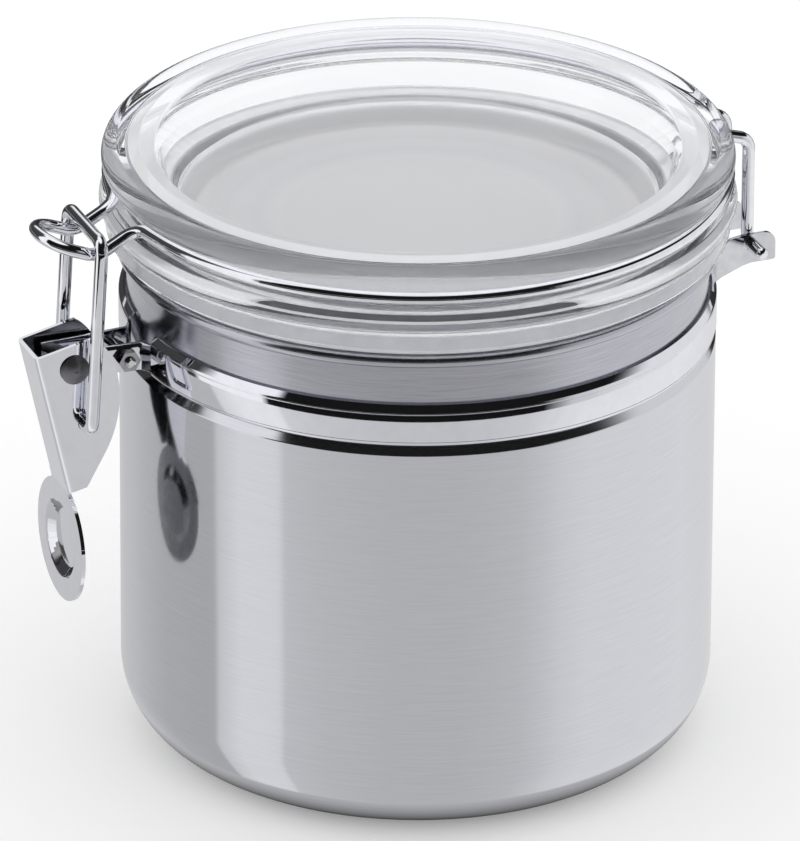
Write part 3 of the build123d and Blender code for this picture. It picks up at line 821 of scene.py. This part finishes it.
def levelRamp(nodes, links, share, levels):
    walls = nodes.new("ShaderNodeValToRGB")
    ramp = walls.color_ramp
    while len(ramp.elements) < len(levels):
        ramp.elements.new(0.5)      # its own place follows below
    for element, (position, level) in zip(ramp.elements, levels):
        element.position = position
        element.color = (level, level, level * studio["cool"], 1)
    links.new(share, walls.inputs["Fac"])
    return walls.outputs["Color"]


def blendUp(nodes, links, height, limits, low):
    # mix that leaves its first colour between two heights
    lift = nodes.new("ShaderNodeMapRange")
    lift.interpolation_type = "SMOOTHSTEP"
    lift.inputs["From Min"].default_value, lift.inputs["From Max"].default_value = limits
    links.new(height, lift.inputs["Value"])
    blend = nodes.new("ShaderNodeMix")
    blend.data_type = "RGBA"
    links.new(lift.outputs["Result"], blend.inputs["Factor"])
    links.new(low, blend.inputs["A"])
    return blend


def studioWorld():
    world = bpy.data.worlds.new("studioWorld")
    world.use_nodes = True
    scene.world = world
    nodes, links = world.node_tree.nodes, world.node_tree.links
    nodes.clear()
    output = nodes.new("ShaderNodeOutputWorld")
    place = nodes.new("ShaderNodeTexCoord")
    split = nodes.new("ShaderNodeSeparateXYZ")
    links.new(place.outputs["Generated"], split.inputs["Vector"])
    # angle round the object, as a share of a turn, 0.5 towards the front
    back = mathIn(nodes, links, "MULTIPLY", split.outputs["Y"], -1.0)
    turnAngle = mathIn(nodes, links, "ARCTAN2", split.outputs["X"], back)
    shifted = mathIn(nodes, links, "ADD", turnAngle, radians(-camera["azimuth"]))
    turns = mathIn(nodes, links, "DIVIDE", shifted, 2 * pi)
    share = mathIn(nodes, links, "FRACT", mathIn(nodes, links, "ADD", turns, 0.5))
    low = levelRamp(nodes, links, share, [(0.5 + angle / 180, level) for angle, level in farLevels])
    high = levelRamp(nodes, links, share, wallLevels)
    walls = blendUp(nodes, links, split.outputs["Z"], studio["horizon"], low)
    links.new(high, walls.inputs["B"])
    sky = blendUp(nodes, links, split.outputs["Z"], studio["overhead"], walls.outputs["Result"])
    sky.inputs["B"].default_value = (1, 1, studio["cool"], 1)
    # toned for what the polished metal mirrors
    toned = nodes.new("ShaderNodeBackground")
    links.new(sky.outputs["Result"], toned.inputs["Color"])
    # plain white for the eye, through the lid and as the soft light itself
    plain = nodes.new("ShaderNodeBackground")
    plain.inputs["Color"].default_value = (1, 1, 1, 1)
    choose = nodes.new("ShaderNodeMixShader")
    links.new(mirrorOnly(nodes, links), choose.inputs["Fac"])
    links.new(plain.outputs["Background"], choose.inputs[1])
    links.new(toned.outputs["Background"], choose.inputs[2])
    links.new(choose.outputs["Shader"], output.inputs["Surface"])


def stageSheet(name, verts, faces):
    # flat sheet of the studio with an empty material
    mesh = bpy.data.meshes.new(name)
    mesh.from_pydata(verts, [], faces)
    sheet = bpy.data.objects.new(name, mesh)
    scene.collection.objects.link(sheet)
    material = bpy.data.materials.new(name)
    material.use_nodes = True
    material.node_tree.nodes.clear()
    mesh.materials.append(material)
    return sheet, material.node_tree.nodes, material.node_tree.links


def studioFloor():
    half = studio["floorSize"] / 2 * mm
    corners = [(-half, -half, 0), (half, -half, 0), (half, half, 0), (-half, half, 0)]
    floor, nodes, links = stageSheet("paperFloor", corners, [(0, 1, 2, 3)])
    floor.location.z = -studio["floorDrop"] * mm
    output = nodes.new("ShaderNodeOutputMaterial")
    paper = nodes.new("ShaderNodeBsdfDiffuse")
    paper.inputs["Color"].default_value = (*[studio["paper"]] * 3, 1)
    # a little brighter for the eye and through the lid
    glow = nodes.new("ShaderNodeEmission")
    rays = nodes.new("ShaderNodeLightPath").outputs
    seen = mathIn(nodes, links, "MAXIMUM", rays["Is Camera Ray"], rays["Is Transmission Ray"])
    links.new(mathIn(nodes, links, "MULTIPLY", seen, studio["paperGlow"]), glow.inputs["Strength"])
    add = nodes.new("ShaderNodeAddShader")
    links.new(paper.outputs["BSDF"], add.inputs[0])
    links.new(glow.outputs["Emission"], add.inputs[1])
    # plain grey in the polished steel
    mirror = nodes.new("ShaderNodeEmission")
    mirror.inputs["Strength"].default_value = studio["mirrorGlow"]
    choose = nodes.new("ShaderNodeMixShader")
    links.new(mirrorOnly(nodes, links), choose.inputs["Fac"])
    links.new(add.outputs["Shader"], choose.inputs[1])
    links.new(mirror.outputs["Emission"], choose.inputs[2])
    links.new(choose.outputs["Shader"], output.inputs["Surface"])


def levelAt(levels, place):
    for (low, first), (high, second) in zip(levels, levels[1:]):
        if low <= place <= high:
            return first + (second - first) * (place - low) / (high - low)
    return levels[-1][1]


def greySheet():
    # toned sheet on the floor, seen only in the metal: its lines fan out from the shell, so
    # that its tones stand upright there, and it holds a painted contact shadow where the canister
    # stands
    front = camera["azimuth"] - 90
    steps = studio["sheetSteps"]
    even = {180 * i / steps - 90 for i in range(steps + 1)}
    angles = sorted(even | {angle for angle, level in sheetLevels})
    verts, levels, faces = [], [], []

    def strip(nearEnd, farEnd, levelOf):
        for angle in angles:
            start, run = radians(front + angle), radians(front + 2 * angle)
            edge = Vector((cos(start), sin(start), 0)) * studio["sheetInner"]
            away = Vector((cos(run), sin(run), 0))
            verts.extend([(edge + away * nearEnd) * mm, (edge + away * farEnd) * mm])
            levels.extend([levelOf(angle)] * 2)
        first = len(verts) - 2 * len(angles)
        for i in range(first, len(verts) - 2, 2):
            faces.append((i, i + 1, i + 3, i + 2))

    strip(0.0, studio["sheetLength"], lambda angle: levelAt(sheetLevels, angle))
    strip(studio["sheetLength"], studio["sheetFar"], lambda angle: levelAt(farLevels, angle))
    # painted contact shadow: dark rings round where the canister stands, seen only in the metal
    count, first = studio["contactSteps"], len(verts)
    for radius, level in contactShadowLevels:
        for i in range(count):
            turn = 2 * pi * i / count
            verts.append(Vector((cos(turn), sin(turn), 0)) * radius * mm)
            levels.append(level)
    faces.append(tuple(range(first, first + count)))
    for ring in range(len(contactShadowLevels) - 1):
        start = first + ring * count
        for i in range(count):
            j = (i + 1) % count
            faces.append((start + i, start + count + i, start + count + j, start + j))
    sheet, nodes, links = stageSheet("greySheet", verts, faces)
    sheet.location.z = -studio["sheetDrop"] * mm
    tone = sheet.data.color_attributes.new("tone", "FLOAT_COLOR", "POINT")
    for point, level in zip(tone.data, levels):
        point.color = (level, level, level, 1)
    sheet.visible_camera = sheet.visible_diffuse = sheet.visible_shadow = False
    output = nodes.new("ShaderNodeOutputMaterial")
    given = nodes.new("ShaderNodeAttribute")
    given.attribute_name = "tone"
    glow = nodes.new("ShaderNodeEmission")
    links.new(given.outputs["Color"], glow.inputs["Color"])
    clear = nodes.new("ShaderNodeBsdfTransparent")
    choose = nodes.new("ShaderNodeMixShader")
    links.new(mirrorOnly(nodes, links), choose.inputs["Fac"])
    links.new(clear.outputs["BSDF"], choose.inputs[1])
    links.new(glow.outputs["Emission"], choose.inputs[2])
    links.new(choose.outputs["Shader"], output.inputs["Surface"])


studioWorld()
studioFloor()
greySheet()
scene.view_settings.view_transform = "Standard"
print("studio ready")
